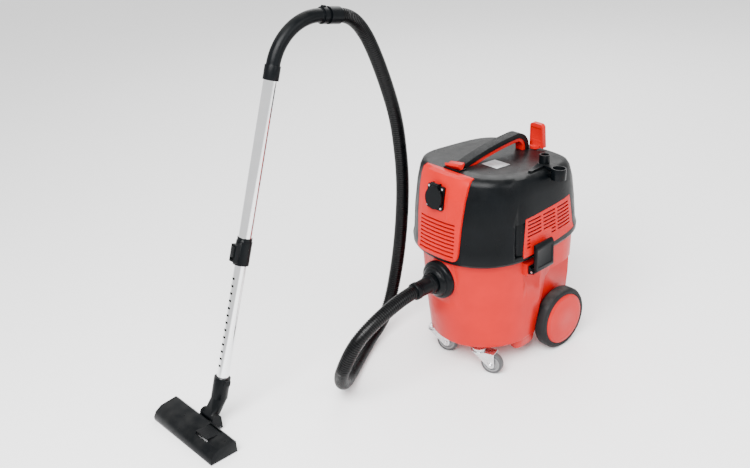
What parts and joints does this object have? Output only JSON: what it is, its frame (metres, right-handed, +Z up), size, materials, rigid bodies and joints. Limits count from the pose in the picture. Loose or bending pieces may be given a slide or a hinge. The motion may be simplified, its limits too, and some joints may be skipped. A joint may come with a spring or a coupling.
{
  "type": "wet and dry shop vacuum",
  "caption": "Wheeled wet and dry vacuum: lift-off motor head on a round-fronted container, with a suction hose, telescopic wand and tilting floor head.",
  "frame": {"origin": "on the floor, under the middle of the set's bounding box measured without the hose", "axes": "+Z up; the machine's front, its inlet and the floor head look along -Y; +X towards the machine's right wheel seen from behind"},
  "size_m": [0.6, 1.1438, 1.0183],
  "materials": {
    "red_plastic": "satin",
    "black_plastic": "satin",
    "soft_black": "textured matte",
    "tyre_grey": "matte",
    "caster_grey": "satin",
    "caster_tyre": "matte",
    "zinc": "zinc plated",
    "chrome": "polished",
    "silver_label": "satin",
    "hose_black": "semi gloss",
    "seal_rubber": "matte",
    "steel": "brushed",
    "copper": "varnished winding",
    "filter_paper": "pleated",
    "white_plastic": "matte",
    "grey_plastic": "matte",
    "bristle": "bristle"
  },
  "bodies": {
    "machine": {"tank": "red_plastic", "tank_seal": "seal_rubber", "inlet_flange": "black_plastic", "rear_axle": "steel", "latch_brackets": "black_plastic", "latch_pins": "steel", "caster_plates": "zinc", "hose": "hose_black", "hose_collar": "black_plastic"},
    "cuff": {"inlet_cuff": "black_plastic"},
    "latch_right": {"latch_right": "black_plastic"},
    "latch_left": {"latch_left": "black_plastic"},
    "wheel_right": {"tyre_right": "tyre_grey", "hub_right": "tyre_grey", "wheel_cap_right": "red_plastic"},
    "wheel_left": {"tyre_left": "tyre_grey", "hub_left": "tyre_grey", "wheel_cap_left": "red_plastic"},
    "fork_right": {"caster_fork_right": "zinc"},
    "fork_left": {"caster_fork_left": "zinc"},
    "caster_right": {"caster_wheel_right": "caster_grey", "caster_tyre_right": "caster_tyre"},
    "caster_left": {"caster_wheel_left": "caster_grey", "caster_tyre_left": "caster_tyre"},
    "head": {"head_cover": "black_plastic", "head_base": "black_plastic", "front_panel": "red_plastic", "vent_panels": "red_plastic", "handle_grip": "soft_black", "handle_liner": "red_plastic", "accessory_holder": "black_plastic", "label_plate": "silver_label", "socket_body": "black_plastic", "socket_screws": "steel", "switch_body": "black_plastic", "cable_gland": "black_plastic", "motor_housing": "grey_plastic", "stator": "copper", "bearings": "steel", "circuit_box": "black_plastic", "filter_cage": "black_plastic", "filter_cartridge": "filter_paper", "filter_nut": "red_plastic"},
    "rocker": {"rocker": "red_plastic"},
    "socket_lid": {"socket_lid": "black_plastic"},
    "cable_hook": {"cable_hook": "red_plastic"},
    "rotor": {"rotor": "steel"},
    "float": {"float": "white_plastic"},
    "wand": {"hand_tube": "black_plastic", "upper_tube": "chrome", "telescope_sleeve": "black_plastic"},
    "suction_slider": {"suction_slider": "black_plastic"},
    "lock_button": {"lock_button": "soft_black"},
    "lower_tube": {"lower_tube": "chrome", "elbow": "black_plastic"},
    "floor_head": {"floor_shell": "black_plastic", "sole_plate": "steel"},
    "pedal": {"pedal": "soft_black"},
    "brushes": {"brush_strips": "bristle"},
    "rollers": {"rollers": "grey_plastic"}
  },
  "joints": [
    {"name": "cuff_swivel", "type": "hinge", "parent": "machine", "child": "cuff", "pos_m": [0.095, 0.138, 0.281], "axis": [0, -1, 0], "continuous": true},
    {"name": "latch_right_swing", "type": "hinge", "parent": "machine", "child": "latch_right", "pos_m": [0.2855, 0.329, 0.305], "axis": [0, 1, 0], "range_deg": [0, 100]},
    {"name": "latch_left_swing", "type": "hinge", "parent": "machine", "child": "latch_left", "pos_m": [-0.0955, 0.329, 0.305], "axis": [0, -1, 0], "range_deg": [0, 100]},
    {"name": "wheel_right_spin", "type": "hinge", "parent": "machine", "child": "wheel_right", "pos_m": [0.255, 0.442, 0.09], "axis": [1, 0, 0], "continuous": true},
    {"name": "wheel_left_spin", "type": "hinge", "parent": "machine", "child": "wheel_left", "pos_m": [-0.065, 0.442, 0.09], "axis": [1, 0, 0], "continuous": true},
    {"name": "caster_right_swivel", "type": "hinge", "parent": "machine", "child": "fork_right", "pos_m": [0.181, 0.193, 0.065], "axis": [0, 0, 1], "continuous": true},
    {"name": "caster_right_spin", "type": "hinge", "parent": "fork_right", "child": "caster_right", "pos_m": [0.21671, 0.206, 0.031], "axis": [-0.342, 0.9397, 0], "continuous": true},
    {"name": "caster_left_swivel", "type": "hinge", "parent": "machine", "child": "fork_left", "pos_m": [0.009, 0.193, 0.065], "axis": [0, 0, 1], "continuous": true},
    {"name": "caster_left_spin", "type": "hinge", "parent": "fork_left", "child": "caster_left", "pos_m": [0.04471, 0.206, 0.031], "axis": [-0.342, 0.9397, 0], "continuous": true},
    {"name": "head_lift", "type": "slide", "parent": "machine", "child": "head", "axis": [0, 0, 1], "range_m": [0, 0.35]},
    {"name": "power_switch", "type": "hinge", "parent": "head", "child": "rocker", "pos_m": [0.095, 0.2087, 0.58233], "axis": [1, 0, 0], "range_deg": [-10, 0]},
    {"name": "socket_lid_open", "type": "hinge", "parent": "head", "child": "socket_lid", "pos_m": [0.087, 0.14248, 0.55654], "axis": [-1, 0, 0], "range_deg": [0, 110], "stiffness_Nm_per_rad": 0.02, "springref_deg": -28.65},
    {"name": "cable_hook_turn", "type": "hinge", "parent": "head", "child": "cable_hook", "pos_m": [0.118, 0.50309, 0.55146], "axis": [0, 0, 1], "range_deg": [-100, 0]},
    {"name": "motor_spin", "type": "hinge", "parent": "head", "child": "rotor", "pos_m": [0.095, 0.331, 0.42], "axis": [0, 0, 1], "continuous": true},
    {"name": "float_rise", "type": "slide", "parent": "head", "child": "float", "axis": [0, 0, 1], "range_m": [0, 0.1]},
    {"name": "grip_swivel", "type": "hinge", "parent": "machine", "child": "wand", "pos_m": [-0.155, 0.0068, 0.99449], "axis": [0, 0.9781, -0.2079], "continuous": true},
    {"name": "suction_slide", "type": "slide", "parent": "wand", "child": "suction_slider", "axis": [0, 0.9781, -0.2079], "range_m": [0, 0.008]},
    {"name": "lock_button_press", "type": "slide", "parent": "wand", "child": "lock_button", "axis": [0, -0.3338, -0.9426], "range_m": [0, 0.006], "stiffness_N_per_m": 300},
    {"name": "telescope", "type": "slide", "parent": "wand", "child": "lower_tube", "axis": [0, 0.3338, 0.9426], "range_m": [0, 0.28]},
    {"name": "floor_head_tilt", "type": "hinge", "parent": "lower_tube", "child": "floor_head", "pos_m": [-0.155, -0.481, 0.036], "axis": [1, 0, 0], "range_deg": [-45, 15]},
    {"name": "brush_pedal", "type": "hinge", "parent": "floor_head", "child": "pedal", "pos_m": [-0.093, -0.527, 0.033], "axis": [1, 0, 0], "range_deg": [0, 14]},
    {"name": "brush_raise", "type": "slide", "parent": "floor_head", "child": "brushes", "axis": [0, 0, 1], "range_m": [0, 0.006]},
    {"name": "roller_spin", "type": "hinge", "parent": "floor_head", "child": "rollers", "pos_m": [-0.155, -0.475, 0.009], "axis": [1, 0, 0], "continuous": true}
  ],
  "couplings": [
    {"joint": "brush_raise", "follows": "brush_pedal", "m_per_rad": 0.02456}
  ]
}
